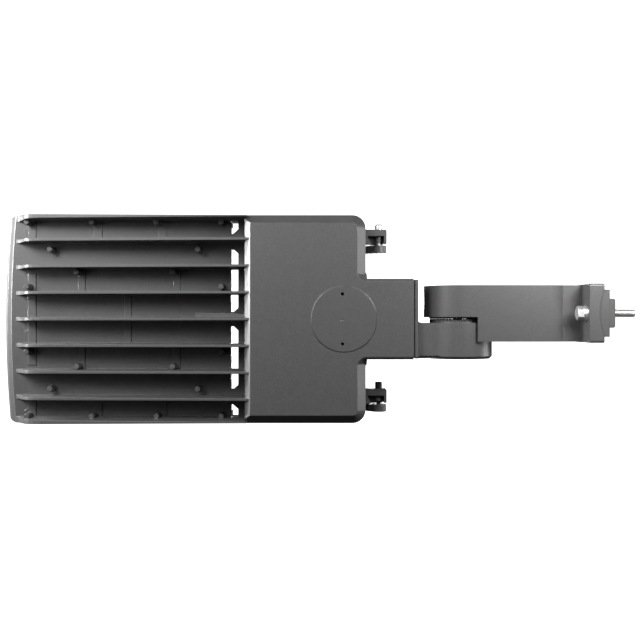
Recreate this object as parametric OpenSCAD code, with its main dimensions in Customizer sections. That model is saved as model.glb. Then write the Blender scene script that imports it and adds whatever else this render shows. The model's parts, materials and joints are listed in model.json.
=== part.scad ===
// Area light (shoebox head) on an adjustable toothed knuckle arm, as a full assembly.
// Millimetres, +Z up. The origin is the middle of the pole seat: the outer face of the
// seat plate, between the two pole bolts. +X points into the pole, so the head lies
// along -X, level, with its light side down.

/* [Head] */
// X of the nose of the head
nose_x = -802.6; // [-810:0.1:-800]
// Half width of the head at the foot of its side walls
head_half = 140; // [139:0.1:141]
// How much narrower each side is at the slot than at the nose
head_taper = 2; // [0:0.1:3]
// Y of the head's centre line, beside the arm's
head_y = -7.4; // [-8:0.1:-7]
// Corner radius at the nose
nose_r = 16; // [14:1:18]
// Top of the heat-sink floor
floor_z = -3; // [-4:0.1:-2]
// Thickness of the heat-sink floor
floor_t = 5; // [4:0.1:6]
// Lower edge of the light section
skirt_z = -28; // [-29:0.1:-27]

/* [Fins] */
// Distance from fin to fin
fin_pitch = 35; // [34:0.1:36]
// Thickness of a fin at its crest
fin_t = 3; // [2.5:0.1:3.5]
// Extra thickness at a fin's foot
fin_draft = 2.4; // [1:0.1:3]
// Diameter of the cast posts over the screws
post_d = 7.5; // [7:0.1:8]
// Height of the posts' tops
post_z = 14; // [10:0.5:18]
// Height of the low lands that cross the channels
land_h = 1.3; // [0.5:0.1:1.5]

/* [Driver box] */
// Top face
box_z = 42; // [41:0.5:43]
// Lower edge of the box's wall
wall_z = -31; // [-32:0.5:-30]
// Half width under the bevel
box_half = 137; // [136:0.1:138]
// Back wall under the bevel
box_back = -312.5; // [-313:0.1:-312]
// Width of the bevel round the top
bevel_w = 11.5; // [10:0.1:12]
// Depth of the bevel round the top
bevel_h = 14; // [12:0.5:15]
// Wall thickness
box_wall = 3.8; // [3.5:0.1:4.5]
// Radius of the sensor seat on the top
seat_r = 43; // [42:0.5:44]
// Height of the sensor seat
seat_h = 1.1; // [0.5:0.1:1.5]
// Half width of the neck
neck_half = 52.8; // [52:0.1:54]
// End of the neck
neck_end = -250.5; // [-252:0.1:-250]

/* [Door] */
// Hinge axis, X
door_x = -292; // [-293:0.1:-291]
// Hinge axis, Z
door_z = -24; // [-24.5:0.1:-23.5]
// Underside of the door
door_low = -43; // [-44:0.5:-42]
// Hinge pin diameter
pin_d = 6; // [5:0.5:6.5]

/* [Knuckle] */
// X of the knuckle's axis
piv_x = -187; // [-188:0.1:-186]
// Radius of both knuckles
kn_r = 45.5; // [45:0.1:46]
// Outer radius of the toothed rings
tooth_r = 38; // [37:0.5:39]
// Inner radius of the toothed rings
tooth_ri = 31; // [30:0.5:32]
// Teeth round each ring, an even number
teeth = 48; // [48:2:50]
// Depth of a tooth on the bracket's ring
tooth_h = 3; // [2.8:0.1:3]
// Depth of a tooth on the arm's ring
tooth_ha = 2; // [1.8:0.1:2]
// Pivot bolt diameter
piv_d = 12; // [11.5:0.1:12.5]

/* [Arm] */
// Half width of the arm
arm_half = 36.8; // [36:0.1:37.5]
// X of the crease where the arm starts to slope to its flange
crease_x = -56.4; // [-58:0.1:-55]
// Half height of the pole flange
flange_hz = 77; // [76:0.5:78]
// Front face of the pole flange
flange_x = -32.7; // [-33:0.1:-32]
// Radius of the pole saddle
saddle_r = 77.7; // [77:0.1:78]
// Height of each pole bolt over the middle
bolt_z = 63; // [62:0.5:64]
// Pole bolt diameter
bolt_d = 10; // [9.5:0.1:10.5]

/* [Light] */
// Lenses along the head
lens_nx = 10; // [8:1:10]
// Lenses across the head
lens_ny = 10; // [8:1:10]
// Lens pitch along the head
lens_px = 21; // [20:0.5:21]
// Lens pitch across the head
lens_py = 22; // [21:0.5:22]

/* [Hidden] */
e = 0.01;
body_col = [0.27, 0.27, 0.28];
steel_col = [0.72, 0.72, 0.70];
$fn = 64;

slot_x0 = -492.8;   // vent slot
slot_x1 = -483.3;
front_x = -471.3;   // front wall of the driver box
cx_led = -634.5;    // middle of the lens field
corner_x = nose_x + 1560 - sqrt(pow(1560 - nose_r, 2) - pow(head_half - nose_r, 2));
taper_a = atan(head_taper / 281.6);
slope_a = atan(4.5 / (crease_x - piv_x));
ring_y = -6.96;     // between the two toothed rings, whose tips stand 0.2 mm apart

// the crest line of fins and side rims: a quick rise behind the nose, then a long slow one
crest = [
  [-784, -3], [-780, -1.4], [-776.5, 2.5], [-773, 7.5], [-769.8, 12.6], [-767, 16.8],
  [-764.3, 20.3], [-761.5, 23], [-758, 25.2], [-752, 27], [-742, 28.3], [-515, 38], [-463.8, 40.5]
];
// screw posts, from the middle of the head: perimeter screws, then board screws
rim_posts = [for (x = [-764.4, -677.6, -591, -504.5], s = [-1, 1]) [x, s * 130],
             for (x = [-764.4, -504.5], s = [-1, 1]) [x, s * 43.5]];
board_posts = [for (x = [-733.5, -536], s = [-1, 1]) [x, s * 93.4],
               for (x = [-697.7, -569.4], s = [-1, 1]) [x, s * 63.4]];
// vent windows, one half: [near edge, far edge, chamfer at near edge, chamfer at far edge]
windows = [[9.9, 32.8, 6, 0], [37.4, 67.2, 0, 0], [73.6, 94.1, 0, 6], [115.4, 132.0, 7, 0]];

// ---------- helpers ----------
// a solid of profile [x, z] drawn across Y
module across(pts, y0, y1) {
  translate([0, y1, 0]) rotate([90, 0, 0]) linear_extrude(height = y1 - y0) polygon(pts);
}
// a solid of profile [y, z] drawn along X
module along(pts, x0, x1) {
  translate([x0, 0, 0]) rotate([90, 0, 90]) linear_extrude(height = x1 - x0) polygon(pts);
}
module cyl_y(r, x, z, y0, y1) { translate([x, y1, z]) rotate([90, 0, 0]) cylinder(r = r, h = y1 - y0); }
module cyl_x(r, y, z, x0, x1) { translate([x0, y, z]) rotate([0, 90, 0]) cylinder(r = r, h = x1 - x0); }
module block(x0, x1, y0, y1, z0, z1) { translate([x0, y0, z0]) cube([x1 - x0, y1 - y0, z1 - z0]); }
// a block with its four upright edges rounded
module rblock(x0, x1, y0, y1, z0, z1, r) {
  translate([0, 0, z0]) linear_extrude(height = z1 - z0) rrect(x0, x1, y0, y1, r);
}
module rrect(x0, x1, y0, y1, r) {
  translate([x0 + r, y0]) square([x1 - x0 - 2 * r, y1 - y0]);
  translate([x0, y0 + r]) square([x1 - x0, y1 - y0 - 2 * r]);
  for (x = [x0 + r, x1 - r], y = [y0 + r, y1 - r]) translate([x, y]) circle(r);
}
module at_head() { translate([0, head_y, 0]) children(); }
module both() { children(); mirror([0, 1, 0]) children(); }
// pan-head screw, head down, its head's top face at z = 0 and its shank up
module screw_up(d, len, hd, hh) {
  difference() {
    union() {
      translate([0, 0, -hh + 0.6]) cylinder(d = hd, h = hh - 0.6);
      translate([0, 0, -hh]) cylinder(d1 = hd - 1.6, d2 = hd, h = 0.6 + e);
      translate([0, 0, -e]) cylinder(d = d, h = len);
    }
    translate([0, 0, -hh - e]) { // cross recess
      translate([-hd * 0.28, -0.45, 0]) cube([hd * 0.56, 0.9, hh * 0.55]);
      translate([-0.45, -hd * 0.28, 0]) cube([0.9, hd * 0.56, hh * 0.55]);
    }
  }
}

// ---------- head casting ----------
// plan of the light section, tapered, with the bowed nose and its two round corners
module led_plan(z0, z1) {
  w = head_half;
  intersection() {
    translate([0, 0, z0]) linear_extrude(height = z1 - z0) polygon([
      [-830, -w], [corner_x, -w], [front_x + 3, -w + head_taper], [front_x + 3, w - head_taper], [corner_x, w], [-830, w]]);
    translate([nose_x + 1560, 0, 0]) rotate_extrude($fn = 64) polygon([
      [0, z0 - 1], [1558.6, z0 - 1], [1558.6, -14], [1557.2, -9.5], [1553.8, -6], [1548.2, -4], [1547.4, floor_z], [1547.4, 80], [0, 80]]);
    union() {
      block(corner_x, front_x + 4, -w - 2, w + 2, z0 - 1, z1 + 1);
      block(-830, corner_x + 1, -w + nose_r, w - nose_r, z0 - 1, z1 + 1);
      for (s = [-1, 1]) translate([corner_x, s * (w - nose_r), z0 - 1]) cylinder(r = nose_r, h = z1 - z0 + 2);
    }
  }
}
// fins and side rims, each a drafted strip under the crest line
module fins() {
  intersection() {
    across(concat([[-784, floor_z - 1]], crest, [[-463.8, floor_z - 1]]), -150, 150);
    union() {
      for (k = [-3:3]) along([[k * fin_pitch - fin_t / 2 - fin_draft / 2, floor_z - 1], [k * fin_pitch + fin_t / 2 + fin_draft / 2, floor_z - 1],
                              [k * fin_pitch + fin_t / 2, 42], [k * fin_pitch - fin_t / 2, 42]], -800, -463.8);
      intersection() {
        both() along([[131.4, floor_z - 1], [150, floor_z - 1], [150, 42], [134.3, 42]], -800, -468);
        led_plan(floor_z - 1, 42);
      }
    }
    // outer faces of the rims lean in by two degrees
    difference() {
      block(-800, -460, -150, 150, -10, 60);
      both() translate([corner_x, head_half, floor_z]) rotate([0, 0, -taper_a]) rotate([2.4, 0, 0]) translate([-30, 0, 0]) cube([380, 30, 70]);
    }
  }
}
module window_cut() {
  both() for (w = windows) translate([0, 0, -50]) linear_extrude(height = 110) polygon([
    [slot_x0, w[0]], [slot_x1 - w[2], w[0]], [slot_x1, w[0] + w[2] * 0.9],
    [slot_x1, w[1] - w[3] * 0.9], [slot_x1 - w[3], w[1]], [slot_x0, w[1]]]);
}
module box_outer() {
  bh = box_half; z1 = box_z - bevel_h; r1 = 17.5; r0 = 19; r2 = r1 - bevel_w;
  cx = box_back - r1; cy = bh - r1;
  difference() {
    union() {
      along([[-cy - r0, wall_z], [cy + r0, wall_z], [cy + r1, z1], [cy + r2, box_z], [-cy - r2, box_z], [-cy - r1, z1]], front_x, cx);
      across([[front_x + 20, wall_z], [cx + r0, wall_z], [cx + r1, z1], [cx + r2, box_z], [front_x + 20, box_z]], -cy, cy);
      for (s = [-1, 1]) translate([cx, s * cy, 0]) rotate_extrude() polygon([[0, wall_z], [r0, wall_z], [r1, z1], [r2, box_z], [0, box_z]]);
    }
    // front chamfer
    across([[front_x - 1, box_z + 1], [front_x - 1, box_z - 7.8], [front_x, box_z - 7], [front_x + 7.8, box_z], [front_x + 8.8, box_z + 1]], -150, 150);
  }
}
module neck_outer() {
  h = neck_half;
  difference() {
    along([[-h + 3, -40], [h - 3, -40], [h, -37], [h, box_z - 5.5], [h - 1.4, box_z - 1.7], [h - 3.8, box_z], [-h + 3.8, box_z], [-h + 1.4, box_z - 1.7],
           [-h, box_z - 5.5], [-h, -37]], box_back - 12.2, neck_end);
    // room for the door's rear edge, and nothing inside the driver bay
    block(box_back - 30, -306, -60, 60, -50, wall_z);
    block(box_back - 30, box_back - 3.3, -60, 60, -50, box_z - bevel_h - 2);
  }
  // web that rounds the top edge into the neck
  both() difference() {
    block(box_back - bevel_w - 0.5, box_back + 1.5, h - 5, h + 9.5, box_z - bevel_h - 2, box_z);
    translate([box_back + 1.5, h + 9.5, box_z - bevel_h - 3]) cylinder(r1 = 1, r2 = 13.2, h = bevel_h + 3 + e);
    translate([box_back + 1.5, h + 9.5, box_z - e]) cylinder(r = 13.2, h = 1);
  }
}
// hinge cup: a plate, an outer leg and a floor round the pin's pocket
module lug(y0) {
  difference() {
    union() {
      rblock(-314, -281.5, y0, y0 + 20.2, wall_z, -13.5, 2.2);
      block(-314, -300, y0, y0 + 20.2, wall_z, -13.5);
    }
    difference() {
      block(-309.5, -285.2, y0 - 1, y0 + 11.1, wall_z + 3, 0);
      // sloping web at the box side
      translate([-309.5, y0 - 2, wall_z]) linear_extrude(height = 40) polygon([[-2, 14], [-2, 0], [6, 2], [3.4, 9.5], [0.5, 14]]);
      cyl_y(5.2, door_x, door_z, y0 + 3, y0 + 12);
    }
    block(-286.5, -281, y0 - 1, y0 + 1.2, wall_z - 1, 0);
    cyl_y(pin_d / 2 + 0.05, door_x, door_z, y0 - 5, y0 + 30);
  }
}
module housing() color(body_col) at_head() difference() {
  union() {
    difference() {
      union() {
        led_plan(skirt_z, floor_z);
        fins();
        for (p = concat(rim_posts, board_posts)) translate([p[0], p[1], floor_z - 1]) {
          cylinder(d1 = post_d + 1.4, d2 = post_d + 0.2, h = post_z - floor_z - 1);
          translate([0, 0, post_z - floor_z - 1]) cylinder(d1 = post_d + 0.2, d2 = post_d - 1, h = 1.6);
        }
        // lands across the channels
        for (b = [[-767.4, -756.6, 105, 133], [-767.4, -756.6, -62, 62], [-767.4, -756.6, -133, -108],
                  [-679, -667.3, 107, 132], [-591.3, -580, 107, 132], [-699.3, -690.3, 37, 67], [-571.3, -561.8, 37, 67],
                  [-637, -628, -33, 33], [-699.3, -690.3, -67, -37], [-571.3, -561.8, -67, -37],
                  [-679, -667.3, -132, -107], [-591.3, -580, -132, -107]])
          block(b[0], b[1], b[2], b[3], floor_z - 1, floor_z + land_h);
        // cover of the wire way beside the middle fin
        intersection() {
          across([[-542, floor_z - 1], [-542, floor_z], [-500, 4.5], [front_x + 1, 9.5], [front_x + 1, floor_z - 1]], -20, 20);
          along([[1, floor_z - 1], [9.3, floor_z - 1], [8.3, 5.6], [5.8, 9.8], [1, 9.8]], -560, front_x + 1);
        }
      }
      // light bay: a ledge for the gasket, and the deeper board bay
      rblock(-794.4, -600, -135.6, 135.6, skirt_z - 1, -17, 11);
      rblock(-700, -497.5, -135.6, 135.6, skirt_z - 1, -17, 4);
      rblock(-789, -506, -125, 125, skirt_z - 1, floor_z - floor_t, 8);
      // open gap behind the light bay
      block(-494.5, front_x + 1, -125, 125, skirt_z - 1, floor_z - floor_t);
      window_cut();
    }
    // columns that the frame's screws enter, and the bridges over the gap
    for (p = rim_posts) translate([p[0], p[1], -17]) cylinder(r = 5.2, h = 12);
    both() for (b = [[-1, 9.6], [33.2, 36.8], [67.6, 73.2], [95, 114]])
      block(-498, front_x + 1, b[0], b[1], skirt_z + 8, floor_z - floor_t + 1);
    difference() {
      box_outer();
      // driver bay
      rblock(front_x + box_wall, box_back - box_wall, -box_half + box_wall, box_half - box_wall, wall_z - 1, box_z - bevel_h - 3, 13);
      rblock(front_x + box_wall, box_back - bevel_w - 1.5, -box_half + bevel_w + 1.5, box_half - bevel_w - 1.5, 0, box_z - 4, 6);
    }
    neck_outer();
    translate([-341.5, 0, box_z - e]) cylinder(r1 = seat_r + 0.6, r2 = seat_r - 0.6, h = seat_h);
    // bosses inside: door screws, sensor seat screws, driver, surge, terminal block
    for (s = [-1, 1]) translate([-453, s * 121, wall_z]) cylinder(r = 6, h = 60);
    for (s = [-1, 1]) block(-456, -450, s > 0 ? 121 : -135, s > 0 ? 135 : -121, wall_z + 4, 24);
    for (s = [-1, 1]) translate([-343.4, s * 32.6, 30]) cylinder(r = 5, h = 10);
    lug(102.3);
    lug(-115.6);
  }
  // neck bay and its end wall's wire hole
  rblock(box_back - 16, neck_end - 6, -46, 46, -26.5, 37.5, 6);
  rblock(-301.5, neck_end - 6, -46, 46, -36, -20, 6);
  cyl_x(11, 0, 0, neck_end - 10, neck_end + 2);
  for (y = [-40, 34], z = [-29, 29]) cyl_x(3.3, y + 3, z, neck_end - 10, neck_end + 2);
  // wire way from the driver bay to the light bay
  cyl_x(4, -3.5, -12.5, -510, front_x + 6);
  // screw holes
  for (p = rim_posts) translate([p[0], p[1], -18]) cylinder(r = 1.9, h = 27);
  for (p = board_posts) translate([p[0], p[1], -9]) cylinder(r = 1.9, h = 15);
  for (x = [-438, -404], s = [-1, 1]) translate([x, s * 103, 34]) cylinder(r = 1.9, h = 6.8);
  for (y = [54, 110]) translate([-356, y, 34]) cylinder(r = 1.9, h = 6.8);
  for (y = [-108, -54]) translate([-358, y, 34]) cylinder(r = 1.9, h = 6.8);
  for (s = [-1, 1]) {
    translate([-453, s * 121, wall_z - 1]) cylinder(r = 2.8, h = 24);
    translate([-343.4, s * 32.6, 34]) cylinder(r = 2.2, h = 12);
  }
  // small centre mark on the sensor seat
  for (x = [-345.6, -342.4]) translate([x, -1.5, box_z + seat_h + 1.2]) sphere(r = 1.7);
}

// ---------- knuckle ----------
// V grooves across a toothed ring: the groove's root lies at y = root, the mouth at y = root + dir * depth
module grooves(root, dir, depth, phase) {
  w = 3.9 / 2;
  for (k = [0:teeth / 2 - 1]) translate([piv_x, 0, 0]) rotate([0, phase + k * 360 / teeth, 0])
    translate([-50, 0, 0]) rotate([90, 0, 90]) linear_extrude(height = 100) polygon([
      [root, 0], [root + dir * (depth + 1), -dir * w * (depth + 1) / depth], [root + dir * (depth + 1), dir * w * (depth + 1) / depth]]);
}
// children turned about the knuckle's axis
module turned(a) { translate([piv_x, 0, 0]) rotate([0, a, 0]) translate([-piv_x, 0, 0]) children(); }
module bracket() color(body_col) difference() {
  union() {
    // flange on the neck
    translate([neck_end + 2, 0, 0]) rotate([90, 0, 90]) linear_extrude(height = 4) rrect(head_y - 51.6, head_y + 51.6, -40.5, 40.5, 3);
    // knuckle with its rounded outer rim
    turned(15) translate([piv_x, 0, 0]) rotate([90, 0, 0]) rotate_extrude() polygon([[0, 12.3], [kn_r, 12.3], [kn_r, 56.4], [kn_r - 3, 59.8], [0, 59.8]]);
    // web between them
    across([[neck_end + 4, -34], [piv_x - 37, -34], [piv_x - 31, -35], [piv_x - 23, -38], [piv_x - 12, -24], [piv_x - 12, 24],
            [piv_x - 23, 38], [piv_x - 31, 35], [piv_x - 37, 34], [neck_end + 4, 34]], -55.7, -12.5);
    across([[neck_end + 4, -32], [piv_x - 20, -32], [piv_x - 20, 32], [neck_end + 4, 32]], -59, -50);
    // ribs that round the web into the flange
    difference() {
      block(neck_end + 4, neck_end + 10, -20, -6.3, -33.5, 33.5);
      translate([neck_end + 12, -4.3, -50]) cylinder(r = 8, h = 100);
    }
    for (s = [-1, 1]) across([[neck_end + 5, s * 30], [neck_end + 5, s * 37.6], [neck_end + 6.4, s * 36.8], [neck_end + 7.6, s * 35.4], [neck_end + 9.4, s * 34.3], [neck_end + 10.6, s * 30]], -56, -13);
    // toothed ring
    difference() {
      turned(180 / teeth) cyl_y(tooth_r, piv_x, 0, -13, ring_y - 0.1);
      turned(180 / teeth) cyl_y(tooth_ri, piv_x, 0, -14, 0);
      grooves(ring_y - 0.1 - tooth_h, 1, tooth_h, 0);
    }
  }
  // wire chamber round the bolt's boss, and the wire way from the neck
  difference() {
    cyl_y(tooth_ri - 0.6, piv_x, 0, -50, 0);
    cyl_y(19, piv_x, 0, -60, -9.5);
  }
  cyl_x(9, -30, 0, neck_end + 1, piv_x - 22);
  cyl_x(11, head_y, 0, neck_end + 1, neck_end + 4);
  block(neck_end + 1, neck_end + 4, -34, -7, -8.5, 8.5);
  for (y = [-37, 37], z = [-29, 29]) cyl_x(2.5, head_y + y, z, neck_end + 1, neck_end + 5.3);
  cyl_y(piv_d / 2 + 0.05, piv_x, 0, -70, 5);
  cyl_y(15, piv_x, 0, -61, -44);
}
module bracket_gasket() color([0.05, 0.05, 0.05]) difference() {
  translate([neck_end, 0, 0]) rotate([90, 0, 90]) linear_extrude(height = 2) rrect(head_y - 50.6, head_y + 50.6, -39, 39.5, 3);
  cyl_x(12, head_y, 0, neck_end - 1, neck_end + 3);
  translate([neck_end - 1, -36, -11]) cube([4, 30, 22]);
  for (y = [-37, 37], z = [-29, 29]) cyl_x(3.4, head_y + y, z, neck_end - 1, neck_end + 3);
}
module bracket_screws() color(steel_col)
  for (y = [-37, 37], z = [-29, 29]) translate([neck_end - 6, head_y + y, z]) rotate([0, 90, 0]) screw_up(4.9, 11, 9, 3.6);

// ---------- light ----------
module led_board() color([0.93, 0.93, 0.9]) at_head() difference() {
  rblock(-787, -508, -123, 123, floor_z - floor_t - 1.6, floor_z - floor_t, 6);
  for (p = board_posts) translate([p[0], p[1], -12]) cylinder(r = 2.3, h = 6);
  for (p = rim_posts) translate([p[0], p[1], -12]) cylinder(r = 6, h = 6);
  cyl_x(6, -3.5, -12.5, -516, -500);
}
module led_chips() color([0.98, 0.85, 0.35]) at_head()
  for (i = [0:lens_nx - 1], j = [0:lens_ny - 1])
    translate([cx_led + (i - (lens_nx - 1) / 2) * lens_px - 1.75, (j - (lens_ny - 1) / 2) * lens_py - 1.75, floor_z - floor_t - 2.4]) cube([3.5, 3.5, 0.8]);
module board_screws() color(steel_col) at_head()
  for (p = board_posts) translate([p[0], p[1], floor_z - floor_t - 1.6]) screw_up(3.7, 11, 7, 2.4);
module lens_plate() color([0.85, 0.9, 0.95, 0.5]) at_head() {
  rblock(-757.5, -511.5, -123, 123, -21.5, -18.5, 5);
  for (i = [0:lens_nx - 1], j = [0:lens_ny - 1])
    translate([cx_led + (i - (lens_nx - 1) / 2) * lens_px, (j - (lens_ny - 1) / 2) * lens_py, -21.4])
      rotate([180, 0, 0]) cylinder(r1 = 7, r2 = 5.2, h = 3.4);
}
module lens_gasket() color([0.06, 0.06, 0.06]) at_head() difference() {
  rblock(-793, -499.5, -134.4, 134.4, -18.5, -17, 9);
  rblock(-748, -521, -114, 114, -20, -15, 6);
  for (p = rim_posts) translate([p[0], p[1], -20]) cylinder(r = 2.4, h = 6);
}
module lens_frame() color([0.3, 0.3, 0.31]) at_head() difference() {
  union() {
    rblock(-793.4, -600, -135, 135, -26, -18.5, 10);
    rblock(-700, -498.5, -135, 135, -26, -18.5, 3.5);
  }
  rblock(-748, -521, -114, 114, -30, -15, 6);
  rblock(-758, -511, -123.5, 123.5, -21.5, -15, 5);
  for (p = rim_posts) translate([p[0], p[1], -30]) { cylinder(r = 2.3, h = 20); cylinder(r = 4.3, h = 6.6); }
}
module lens_screws() color(steel_col) at_head()
  for (p = rim_posts) translate([p[0], p[1], -23.4]) screw_up(3.7, 26, 8, 2.4);

// ---------- driver bay ----------
module led_driver() color([0.75, 0.76, 0.78]) at_head() difference() {
  union() {
    rblock(-450, -392, -98, 98, 4, 38, 3);
    rblock(-446, -396, -108, 108, 35, 38, 3);
    for (s = [-1, 1]) translate([-421, s * 98, 20]) rotate([-s * 90, 0, 0]) translate([0, 0, -e]) cylinder(r = 5, h = 9);
  }
  for (x = [-438, -404], s = [-1, 1]) translate([x, s * 103, 30]) cylinder(r = 2.3, h = 10);
}
module driver_screws() color(steel_col) at_head()
  for (x = [-438, -404], s = [-1, 1]) translate([x, s * 103, 35]) screw_up(3.7, 5.5, 7.5, 2.6);
module surge_protector() color([0.12, 0.2, 0.45]) at_head() difference() {
  union() {
    rblock(-378, -334, 58, 106, 10, 38, 4);
    rblock(-374, -338, 50, 114, 35, 38, 3);
  }
  for (y = [54, 110]) translate([-356, y, 30]) cylinder(r = 2.3, h = 10);
}
module surge_screws() color(steel_col) at_head()
  for (y = [54, 110]) translate([-356, y, 35]) screw_up(3.7, 5.5, 7.5, 2.6);
module terminal_block() color([0.9, 0.9, 0.88]) at_head() difference() {
  union() {
    rblock(-372, -344, -104, -58, 30, 38, 2);
    rblock(-364, -352, -112, -50, 35, 38, 3);
    for (k = [0:2]) rblock(-369, -347, -101 + k * 14, -89 + k * 14, 20, 31, 2);
  }
  for (k = [0:2], x = [-363, -353]) translate([x, -95 + k * 14, 15]) cylinder(r = 2.4, h = 9);
  for (y = [-108, -54]) translate([-358, y, 32]) cylinder(r = 2.3, h = 8);
}
module terminal_screws() color(steel_col) at_head()
  for (y = [-108, -54]) translate([-358, y, 35]) screw_up(3.7, 5.5, 7.5, 2.6);
module cable_grommet() color([0.05, 0.05, 0.05]) at_head() difference() {
  union() {
    cyl_x(3.9, -3.5, -12.5, front_x - 3, front_x + 5);
    cyl_x(7, -3.5, -12.5, front_x + 3.9, front_x + 7);
  }
  cyl_x(2.2, -3.5, -12.5, front_x - 5, front_x + 9);
}

// ---------- door ----------
module knuckle_leaf(y0, y1) {
  cyl_y(10.5, door_x, door_z, y0, y1);
  across([[door_x, door_z - 10.5], [-306, door_low], [-320, door_low], [-320, -34], [-309, -34], [-309, -26], [-299, -16.6], [door_x, door_z + 10.5]], y0, y1);
}
module driver_door() color(body_col) at_head() difference() {
  union() {
    difference() {
      rblock(front_x + 0.5, -311.5, -138, 138, door_low, -33, 16);
      rblock(front_x + 6, -317, -132.5, 132.5, door_low + 3.5, -32, 11);
    }
    block(front_x + 0.5, front_x + 14, -138, 138, door_low, -39);
    for (y = [-90, -30, 30, 90]) block(front_x + 4, -316, y - 1.25, y + 1.25, door_low + 3, -35);
    for (s = [-1, 1]) translate([-453, s * 121, door_low]) cylinder(r = 8, h = 10);
    knuckle_leaf(91.1, 101);
    knuckle_leaf(-126.8, -116.9);
  }
  for (y = [90, -128]) cyl_y(pin_d / 2 + 0.05, door_x, door_z, y, y + 13);
  for (s = [-1, 1]) translate([-453, s * 121, door_low - 1]) { cylinder(r = 2.8, h = 20); cylinder(r = 6, h = 5); }
}
module door_gasket() color([0.05, 0.05, 0.05]) at_head() difference() {
  rblock(front_x + 1, -312.5, -136.5, 136.5, -33, wall_z, 15);
  rblock(front_x + 5.4, -316.6, -132.6, 132.6, -34, wall_z + 1, 11);
}
module door_screws() color(steel_col) at_head()
  for (s = [-1, 1]) translate([-453, s * 121, door_low + 4]) screw_up(4.9, 7.4, 9, 3.6);

// ---------- hinge pins ----------
module hinge_screw() color(steel_col) at_head() {
  cyl_y(pin_d / 2, door_x, door_z, 91.4, 125.6);
  cyl_y(5.1, door_x, door_z, 125.2, 128.6);
  translate([door_x, 128.6 - e, door_z]) rotate([-90, 0, 0]) cylinder(r1 = 5.1, r2 = 3.4, h = 1.8);
}
module hinge_washer() color(steel_col) at_head() difference() {
  cyl_y(4.7, door_x, door_z, 122.5, 125.2);
  cyl_y(pin_d / 2 + 0.05, door_x, door_z, 120, 130);
}
module hinge_pin() color([0.1, 0.1, 0.1]) at_head() {
  cyl_y(pin_d / 2, door_x, door_z, -126.6, -95.4 + e);
  cyl_y(4.8, door_x, door_z, -95.4, -87.2);
  translate([door_x, -87.2 - e, door_z]) rotate([-90, 0, 0]) cylinder(r1 = 4.8, r2 = 3.8, h = 1);
}

// ---------- arm ----------
module arm() color(body_col) difference() {
  union() {
    difference() {
      union() {
        cyl_y(kn_r, piv_x, 0, -4.85, arm_half);
        across([[piv_x, -kn_r], [crease_x, -41], [flange_x + 1, -39], [flange_x + 1, 40.2], [crease_x, 41], [-58, 41.55], [-60, 42.15], [-62, 42.67],
                [-64, 43.12], [-66, 43.5], [-68, 43.81], [-70, 44.05], [-72, 44.23], [-75, 44.4], [piv_x, kn_r]], -arm_half, arm_half);
      }
      // room for the bracket's knuckle
      cyl_y(49, piv_x, 0, -arm_half - 1, -4.85);
      block(piv_x - 60, piv_x, -arm_half - 1, -4.85, -60, 60);
    }
    // pole flange
    rotate([90, 0, 90]) translate([0, 0, flange_x]) linear_extrude(height = 18.5) rrect(-37.5, 37.5, -flange_hz, flange_hz, 3);
    difference() {
      cyl_y(tooth_r, piv_x, 0, ring_y + 0.1, -4);
      cyl_y(tooth_ri, piv_x, 0, -9, 0);
      grooves(ring_y + 0.1 + tooth_ha, -1, tooth_ha, 180 / teeth);
    }
  }
  // pole saddle
  translate([57.6, 0, -100]) cylinder(r = saddle_r, h = 200, $fn = 128);
  // wire chamber round the bolt's boss
  difference() {
    cyl_y(tooth_ri - 0.6, piv_x, 0, -10, 32);
    cyl_y(19, piv_x, 0, -4.5, 40);
  }
  cyl_y(piv_d / 2 + 0.05, piv_x, 0, -20, 40);
  cyl_y(15, piv_x, 0, 22, 40);
  // hollow of the arm, open underneath, and the way into it
  block(-132, flange_x - 5, -31, 31, -36, 35);
  block(-168, -130, 4, 30, -14, 14);
  translate([piv_x, 0, -kn_r]) rotate([0, -slope_a, 0]) {
    rblock(60, 124, -27, 27, -3, 20, 6);
    rblock(52, 132, -33, 33, -3, 3, 6);
    for (x = [56, 128], s = [-1, 1]) translate([x, s * 26, 0]) cylinder(r = 1.9, h = 12);
  }
  // wire hole and bolt holes through the flange
  cyl_x(14, 0, 0, flange_x - 10, 0);
  for (s = [-1, 1]) cyl_x(bolt_d / 2 + 0.5, 0, s * bolt_z, flange_x - 5, 0);
}
module arm_cover() color(body_col) translate([piv_x, 0, -kn_r]) rotate([0, -slope_a, 0]) difference() {
  rblock(52.4, 131.6, -32.6, 32.6, 0, 3, 5.6);
  for (x = [56, 128], s = [-1, 1]) translate([x, s * 26, -1]) cylinder(r = 2.2, h = 6);
}
module arm_cover_screws() color(steel_col) translate([piv_x, 0, -kn_r]) rotate([0, -slope_a, 0])
  for (x = [56, 128], s = [-1, 1]) translate([x, s * 26, 0]) screw_up(3.7, 11, 7, 2.2);
module pivot_bolt() color(steel_col) {
  cyl_y(piv_d / 2, piv_x, 0, -58.5, 27.5 + e);
  translate([piv_x, 27.5, 0]) rotate([-90, 30, 0]) cylinder(d = 20.8, h = 7.5, $fn = 6);
}
module pivot_washers() color(steel_col) {
  difference() { cyl_y(12, piv_x, 0, 22, 24.5); cyl_y(piv_d / 2 + 0.4, piv_x, 0, 20, 30); }
  difference() { cyl_y(10, piv_x, 0, 24.5, 27.5); cyl_y(piv_d / 2 + 0.3, piv_x, 0, 20, 30); }
  difference() { cyl_y(12, piv_x, 0, -46.5, -44); cyl_y(piv_d / 2 + 0.4, piv_x, 0, -50, -40); }
}
module pivot_nut() color(steel_col) difference() {
  translate([piv_x, -46.5, 0]) rotate([90, 30, 0]) cylinder(d = 20.8, h = 10, $fn = 6);
  cyl_y(piv_d / 2 + 0.03, piv_x, 0, -60, -40);
}
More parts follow.
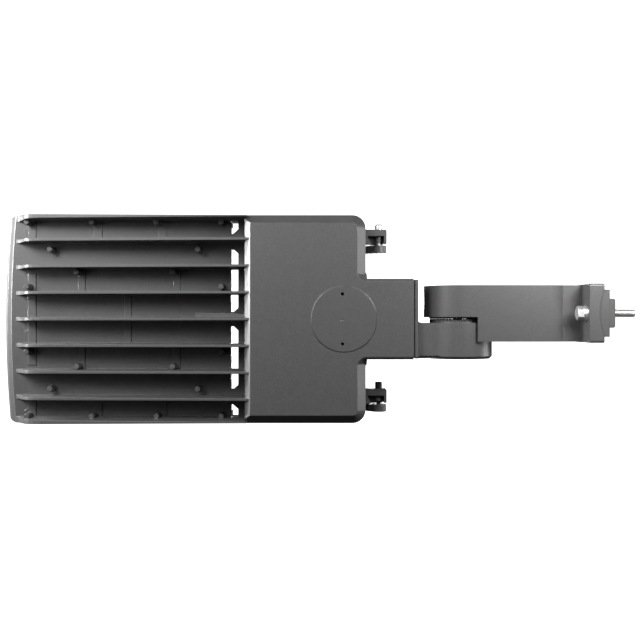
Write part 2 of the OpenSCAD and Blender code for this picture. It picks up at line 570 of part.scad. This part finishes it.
module pole_bolts() color(steel_col) for (s = [-1, 1]) translate([0, 0, s * bolt_z]) {
  cyl_x(bolt_d / 2 - 0.5, 0, 0, flange_x - 5.5 - e, e);
  cyl_x(bolt_d / 2, 0, 0, 0, 27.3);
  translate([27.3 - e, 0, 0]) rotate([0, 90, 0]) cylinder(r1 = bolt_d / 2, r2 = bolt_d / 2 - 1.3, h = 1.5);
  intersection() {
    translate([flange_x - 12.5, 0, 0]) rotate([0, 90, 0]) cylinder(d = 18.9, h = 7, $fn = 6);
    translate([flange_x - 12.5, 0, 0]) rotate([0, 90, 0]) union() {
      cylinder(r1 = 8.2, r2 = 9.6, h = 1 + e);
      translate([0, 0, 1]) cylinder(r = 9.6, h = 7);
    }
  }
}
module pole_spring_washers() color(steel_col) for (s = [-1, 1]) difference() {
  cyl_x(8.6, 0, s * bolt_z, flange_x - 5.5, flange_x - 2.5);
  cyl_x(bolt_d / 2 + 0.2, 0, s * bolt_z, flange_x - 8, flange_x);
  translate([flange_x - 4, 0, s * bolt_z]) rotate([24, 0, 0]) translate([-3, -0.5, 0]) cube([6, 1, 12]);
}
module pole_washers() color(steel_col) for (s = [-1, 1]) difference() {
  cyl_x(10, 0, s * bolt_z, flange_x - 2.5, flange_x);
  cyl_x(bolt_d / 2 + 0.25, 0, s * bolt_z, flange_x - 8, flange_x + 3);
}
module pole_adaptor() color(body_col) difference() {
  intersection() {
    translate([57.6, 0, -75]) cylinder(r = saddle_r - 0.3, h = 150, $fn = 128);
    block(-25, -7, -29.9, 29.9, -75, 75);
  }
  cyl_x(14, 0, 0, -30, 0);
  for (s = [-1, 1]) cyl_x(bolt_d / 2 + 0.5, 0, s * bolt_z, -30, 0);
}
module pole_plate() color(body_col) difference() {
  union() {
    block(-7, -3, -18.5, 18.5, -75, 75);
    block(-7, 0, -15.5, 15.5, -75, 75);
    for (s = [-1, 1]) translate([-3, s * 15.5, -75]) cylinder(r = 3, h = 150);
  }
  cyl_x(13, 0, 0, -10, 2);
  for (s = [-1, 1]) cyl_x(bolt_d / 2 + 0.5, 0, s * bolt_z, -10, 2);
}
module wire_bushing() color([0.05, 0.05, 0.05]) difference() {
  union() {
    cyl_x(13.9, 0, 0, flange_x - 5, -21);
    cyl_x(17, 0, 0, flange_x - 8, flange_x - 5);
  }
  cyl_x(10, 0, 0, flange_x - 10, 0);
}

housing();
bracket();
bracket_gasket();
bracket_screws();
led_board();
led_chips();
board_screws();
lens_plate();
lens_gasket();
lens_frame();
lens_screws();
led_driver();
driver_screws();
surge_protector();
surge_screws();
terminal_block();
terminal_screws();
cable_grommet();
hinge_screw();
hinge_washer();
hinge_pin();
driver_door();
door_gasket();
door_screws();
arm();
arm_cover();
arm_cover_screws();
pivot_bolt();
pivot_washers();
pivot_nut();
pole_bolts();
pole_spring_washers();
pole_washers();
pole_adaptor();
pole_plate();
wire_bushing();
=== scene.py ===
import json
import math

import bmesh
import bpy
from mathutils import Matrix, Vector


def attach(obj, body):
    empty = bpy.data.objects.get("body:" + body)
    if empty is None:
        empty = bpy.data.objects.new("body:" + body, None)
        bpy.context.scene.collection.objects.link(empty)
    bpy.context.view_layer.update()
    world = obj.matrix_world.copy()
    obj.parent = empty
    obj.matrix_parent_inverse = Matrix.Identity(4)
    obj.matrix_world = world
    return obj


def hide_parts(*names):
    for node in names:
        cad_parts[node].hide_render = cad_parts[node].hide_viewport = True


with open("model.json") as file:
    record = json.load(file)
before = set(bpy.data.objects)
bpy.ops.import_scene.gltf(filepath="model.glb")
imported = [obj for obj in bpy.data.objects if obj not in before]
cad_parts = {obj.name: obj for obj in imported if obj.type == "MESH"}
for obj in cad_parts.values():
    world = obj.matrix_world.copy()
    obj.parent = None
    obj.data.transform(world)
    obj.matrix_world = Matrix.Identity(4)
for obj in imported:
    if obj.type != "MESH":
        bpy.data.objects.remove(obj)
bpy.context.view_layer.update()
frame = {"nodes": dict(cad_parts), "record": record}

scene = bpy.context.scene
HEAD_Y = -0.0074
PIV_X = -0.187


# ---------------------------------------------------------------- materials
def material(name, base, rough, metal=0.0, spec=0.5):
    m = bpy.data.materials.new(name)
    m.use_nodes = True
    p = m.node_tree.nodes["Principled BSDF"]
    p.inputs["Base Color"].default_value = (*base, 1)
    p.inputs["Roughness"].default_value = rough
    p.inputs["Metallic"].default_value = metal
    p.inputs["Specular IOR Level"].default_value = spec
    return m, m.node_tree, p


def node(t, kind, **values):
    n = t.nodes.new(kind)
    for k, v in values.items():
        if k in n.inputs:
            n.inputs[k].default_value = v
        else:
            setattr(n, k, v)
    return n


def texture_at(t, scale=1.0):
    """object coordinates in millimetres"""
    co = node(t, "ShaderNodeTexCoord")
    mp = node(t, "ShaderNodeMapping")
    mp.inputs["Scale"].default_value = (1000 * scale,) * 3
    t.links.new(co.outputs["Object"], mp.inputs["Vector"])
    return mp.outputs["Vector"]


def grain(t, vec, size, detail=2.0, rough=0.5):
    n = node(t, "ShaderNodeTexNoise")
    n.inputs["Scale"].default_value = 1.0 / size
    n.inputs["Detail"].default_value = detail
    n.inputs["Roughness"].default_value = rough
    t.links.new(vec, n.inputs["Vector"])
    return n.outputs["Fac"]


def two_tone(t, p, fac, a, b, low=0.3, high=0.7):
    r = node(t, "ShaderNodeValToRGB")
    r.color_ramp.elements[0].position = low
    r.color_ramp.elements[0].color = (*a, 1)
    r.color_ramp.elements[1].position = high
    r.color_ramp.elements[1].color = (*b, 1)
    t.links.new(fac, r.inputs["Fac"])
    t.links.new(r.outputs["Color"], p.inputs["Base Color"])
    return r


def bumped(t, p, height, strength, distance, edge=0.0, samples=4):
    b = node(t, "ShaderNodeBump")
    b.inputs["Strength"].default_value = strength
    b.inputs["Distance"].default_value = distance
    t.links.new(height, b.inputs["Height"])
    if edge:
        e = node(t, "ShaderNodeBevel", samples=samples)
        e.inputs["Radius"].default_value = edge
        t.links.new(e.outputs["Normal"], b.inputs["Normal"])
    t.links.new(b.outputs["Normal"], p.inputs["Normal"])
    return b


def add(t, a, b, ka=1.0, kb=1.0):
    ma = node(t, "ShaderNodeMath", operation="MULTIPLY")
    t.links.new(a, ma.inputs[0])
    ma.inputs[1].default_value = ka
    mb = node(t, "ShaderNodeMath", operation="MULTIPLY_ADD")
    t.links.new(b, mb.inputs[0])
    mb.inputs[1].default_value = kb
    t.links.new(ma.outputs[0], mb.inputs[2])
    return mb.outputs[0]


def body_paint():
    m, t, p = material("body_paint", (0.055, 0.055, 0.056), 0.4, spec=0.6)
    v = texture_at(t)
    fine = grain(t, v, 0.9, 3.0, 0.6)
    wide = grain(t, v, 9.0, 2.0)
    two_tone(t, p, add(t, fine, wide, 0.88, 0.12), (0.040, 0.040, 0.041), (0.070, 0.070, 0.072), 0.34, 0.66)
    bumped(t, p, fine, 0.28, 0.00025, edge=0.0011)
    return m


def steel():
    m, t, p = material("steel", (0.62, 0.62, 0.6), 0.36, metal=0.85)
    v = texture_at(t)
    f = grain(t, v, 1.6, 3.0)
    two_tone(t, p, f, (0.55, 0.55, 0.54), (0.72, 0.72, 0.71))
    bumped(t, p, grain(t, v, 0.5, 2.0), 0.15, 0.0001, edge=0.0004)
    return m


def plain(name, a, b, rough, size, metal=0.0, spec=0.4, bump=0.1, edge=0.0003):
    m, t, p = material(name, a, rough, metal=metal, spec=spec)
    v = texture_at(t)
    f = grain(t, v, size, 3.0)
    two_tone(t, p, f, a, b)
    bumped(t, p, f, bump, 0.0002, edge=edge)
    return m


def lens():
    m, t, p = material("lens_clear", (0.93, 0.95, 0.97), 0.12, spec=0.5)
    p.inputs["Transmission Weight"].default_value = 0.85
    p.inputs["IOR"].default_value = 1.49
    v = texture_at(t)
    f = grain(t, v, 3.0, 2.0)
    two_tone(t, p, f, (0.9, 0.93, 0.95), (0.97, 0.98, 0.99))
    bumped(t, p, f, 0.05, 0.0001)
    return m


SLOTS = {
    "body_paint": body_paint(),
    "steel": steel(),
    "black_rubber": plain("black_rubber", (0.011, 0.011, 0.011), (0.02, 0.02, 0.02), 0.65, 1.2),
    "white_mask": plain("white_mask", (0.80, 0.80, 0.77), (0.88, 0.88, 0.86), 0.45, 5.0, bump=0.03),
    "led_phosphor": plain("led_phosphor", (0.85, 0.66, 0.16), (0.93, 0.78, 0.28), 0.5, 0.8),
    "lens_clear": lens(),
    "driver_case": plain("driver_case", (0.52, 0.53, 0.54), (0.62, 0.63, 0.64), 0.38, 1.5, metal=0.9, bump=0.05),
    "surge_case": plain("surge_case", (0.035, 0.07, 0.22), (0.05, 0.1, 0.28), 0.45, 2.0),
    "terminal_plastic": plain("terminal_plastic", (0.75, 0.75, 0.71), (0.84, 0.84, 0.8), 0.5, 2.0),
    "black_pin": plain("black_pin", (0.012, 0.012, 0.012), (0.02, 0.02, 0.02), 0.45, 1.0),
}
slot_of = {r["node"]: r["material_slot"] for r in frame["record"]["subparts"]}
for name, o in frame["nodes"].items():
    o.data.materials.clear()
    o.data.materials.append(SLOTS[slot_of[name]])
    for poly in o.data.polygons:
        poly.material_index = 0


# ---------------------------------------------------------------- pieces made here
def piece(name, bm, body, slot, smooth=True):
    me = bpy.data.meshes.new(name)
    bm.normal_update()
    bm.to_mesh(me)
    bm.free()
    if smooth:
        for f in me.polygons:
            f.use_smooth = True
        me.set_sharp_from_angle(angle=math.radians(32))
    o = bpy.data.objects.new(name, me)
    scene.collection.objects.link(o)
    me.materials.append(SLOTS[slot])
    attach(o, body)
    return o


def lathe(bm, rings, seg, axis_z, wrap=lambda x, a, r: r):
    """closed rings round the X axis at height axis_z; rings = [(x, r)], both in metres"""
    rows = []
    for x, r in rings:
        if r < 1e-6:
            rows.append([bm.verts.new((x, 0, axis_z))])
            continue
        row = []
        for k in range(seg):
            a = 2 * math.pi * k / seg
            q = wrap(x, a, r)
            row.append(bm.verts.new((x, q * math.cos(a), axis_z + q * math.sin(a))))
        rows.append(row)
    for u, w in zip(rows, rows[1:]):
        for k in range(seg):
            n = (k + 1) % seg
            if len(u) == 1:
                bm.faces.new((u[0], w[n], w[k]))
            elif len(w) == 1:
                bm.faces.new((u[k], u[n], w[0]))
            else:
                bm.faces.new((u[k], u[n], w[n], w[k]))


def pole_bolts():
    """M10 bolts with a chamfered hexagon and a real helical thread"""
    bm = bmesh.new()
    for z in (-0.063, 0.063):
        x0, x1 = -0.0452, -0.0382
        flat = 0.00945 * math.cos(math.pi / 6)

        def hexagon(x, a, r):
            edge = flat / math.cos((a % (math.pi / 3)) - math.pi / 6)
            return min(edge, 0.0079 + (x - x0) * 1.75, 0.0082 + (x1 - x) * 3 + 0.0012) if r > 0.006 else r

        lathe(bm, [(x0 + 0.0001, 0), (x0 + 0.0001, 0.0052), (x0, 0.0056)] + [(x0 + d, 0.02) for d in (0, 0.00025, 0.0005, 0.00075, 0.001, 0.0025, 0.0045, 0.0062, 0.0067, 0.007)]
              + [(x1, 0.005), (-0.012, 0.005), (-0.0119, 0.00465)], 96, z, hexagon)
        pitch, depth, top = 0.0015, 0.0009, 0.0049

        def thread(x, a, r):
            t = (x / pitch - a / (2 * math.pi)) % 1.0
            d = depth * min(1.0, max(0.0, 1.25 * (1 - abs(2 * t - 1)) - 0.12))
            return min(top - d, 0.0036 + max(0.0, 0.0288 - x) * 0.95) if r > 0.001 else r

        n = int((0.0288 + 0.0119) / 0.00015)
        lathe(bm, [(-0.0119 + i * (0.0288 + 0.0119) / n, 0.005) for i in range(n + 1)] + [(0.0288, 0)], 40, z, thread)
    bmesh.ops.recalc_face_normals(bm, faces=bm.faces)
    o = piece("pole_bolts_threaded", bm, "arm", "steel")
    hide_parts("pole_bolts")


pole_bolts()


def ejector_marks():
    """round marks that the die's pins leave on the floor of the channels"""
    bm = bmesh.new()
    zf = -0.003
    for px, py, r in ((27, 231.5, 3.6), (92.5, 231, 3.6), (158.6, 230.7, 3.6), (224.5, 231.5, 3.6), (224.1, 253.9, 3.4),
                      (27.8, 332.4, 3.6), (26.9, 411.6, 3.4), (92.5, 410.7, 3.4)):
        s = 1.3534
        cx, cy = ((px - 320) * s - 372.6) / 1000, ((320 - py) * s - 8.56) / 1000
        prof = [(r - 1.0, -0.05), (r - 0.75, 0.3), (r - 0.25, 0.3), (r, -0.05)]
        rows = []
        for q, h in prof:
            rows.append([bm.verts.new((cx + q / 1000 * math.cos(2 * math.pi * k / 40), cy + q / 1000 * math.sin(2 * math.pi * k / 40), zf + h / 1000)) for k in range(40)])
        for u, w in zip(rows, rows[1:]):
            for k in range(40):
                n = (k + 1) % 40
                bm.faces.new((u[k], w[k], w[n], u[n]))
    bmesh.ops.recalc_face_normals(bm, faces=bm.faces)
    piece("ejector_marks", bm, "head", "body_paint")


ejector_marks()


# ---------------------------------------------------------------- stage, lights, camera
def stage():
    me = bpy.data.meshes.new("floor")
    s = 6.0
    me.from_pydata([(-s, -s, -1.45), (s, -s, -1.45), (s, s, -1.45), (-s, s, -1.45)], [], [(0, 1, 2, 3)])
    o = bpy.data.objects.new("floor", me)
    scene.collection.objects.link(o)
    m, t, p = material("floor", (0.9, 0.9, 0.9), 0.8, spec=0.1)
    v = texture_at(t)
    two_tone(t, p, grain(t, v, 60.0, 2.0), (0.88, 0.88, 0.88), (0.92, 0.92, 0.92))
    p.inputs["Emission Color"].default_value = (1, 1, 1, 1)
    p.inputs["Emission Strength"].default_value = 1.0
    me.materials.append(m)
    o.visible_diffuse = False
    o.visible_glossy = False
    o.visible_shadow = False
    o.visible_transmission = False
    w = bpy.data.worlds.new("world")
    scene.world = w
    w.use_nodes = True
    t = w.node_tree
    t.nodes.clear()
    out = node(t, "ShaderNodeOutputWorld")
    mix = node(t, "ShaderNodeMixShader")
    lp = node(t, "ShaderNodeLightPath")
    dim = node(t, "ShaderNodeBackground")
    dim.inputs["Color"].default_value = (1, 1, 1, 1)
    dim.inputs["Strength"].default_value = 0.02
    seen = node(t, "ShaderNodeBackground")
    seen.inputs["Color"].default_value = (1, 1, 1, 1)
    seen.inputs["Strength"].default_value = 1.0
    t.links.new(lp.outputs["Is Camera Ray"], mix.inputs["Fac"])
    t.links.new(dim.outputs["Background"], mix.inputs[1])
    t.links.new(seen.outputs["Background"], mix.inputs[2])
    t.links.new(mix.outputs["Shader"], out.inputs["Surface"])


def area_light(name, place, aim, size, power, size_y=None):
    d = bpy.data.lights.new(name, "AREA")
    d.shape = "RECTANGLE"
    d.size = size
    d.size_y = size_y or size
    d.energy = power
    o = bpy.data.objects.new(name, d)
    scene.collection.objects.link(o)
    o.location = place
    o.rotation_mode = "QUATERNION"
    o.rotation_quaternion = (Vector(aim) - Vector(place)).to_track_quat("-Z", "Y")
    o.visible_camera = False
    return o


stage()
AIM = (-0.45, 0.0, 0.0)
area_light("light_key", (-1.05, 0.6, 0.849), AIM, 0.5, 19.0)
area_light("light_back", (0.15, 0.6, 0.849), AIM, 0.5, 2.8)
area_light("light_top", (-0.45, 0.45, 1.113), AIM, 0.5, 1.3)
area_light("light_nose", (-1.30, 0.10, 0.62), AIM, 0.4, 1.4)
area_light("light_nose_low", (-1.50, 0.28, 0.024), (-0.47, 0.08, 0.030), 0.5, 28.0, 0.03)
area_light("light_arm", (0.06, 0.22, 0.36), (-0.08, 0.0, 0.04), 0.2, 3.2)
area_light("light_pole_low", (0.75, 0.05, -0.10), (-0.3, 0.0, 0.0), 0.5, 5.0, 0.3)
sun = bpy.data.lights.new("light_below", "SUN")
sun.energy = 1.6
sun.angle = math.radians(8)
below = bpy.data.objects.new("light_below", sun)
scene.collection.objects.link(below)
below.rotation_euler = (math.pi, 0, 0)

cam = bpy.data.cameras.new("camera")
cam.lens = 47.59
cam.sensor_width = 36
cam.clip_start, cam.clip_end = 0.05, 30
cam_o = bpy.data.objects.new("camera", cam)
scene.collection.objects.link(cam_o)
cam_o.location = (-0.3726, -0.00856, 1.142)
cam_o.rotation_euler = (0, 0, 0)
scene.camera = cam_o
scene.view_settings.view_transform = "Standard"
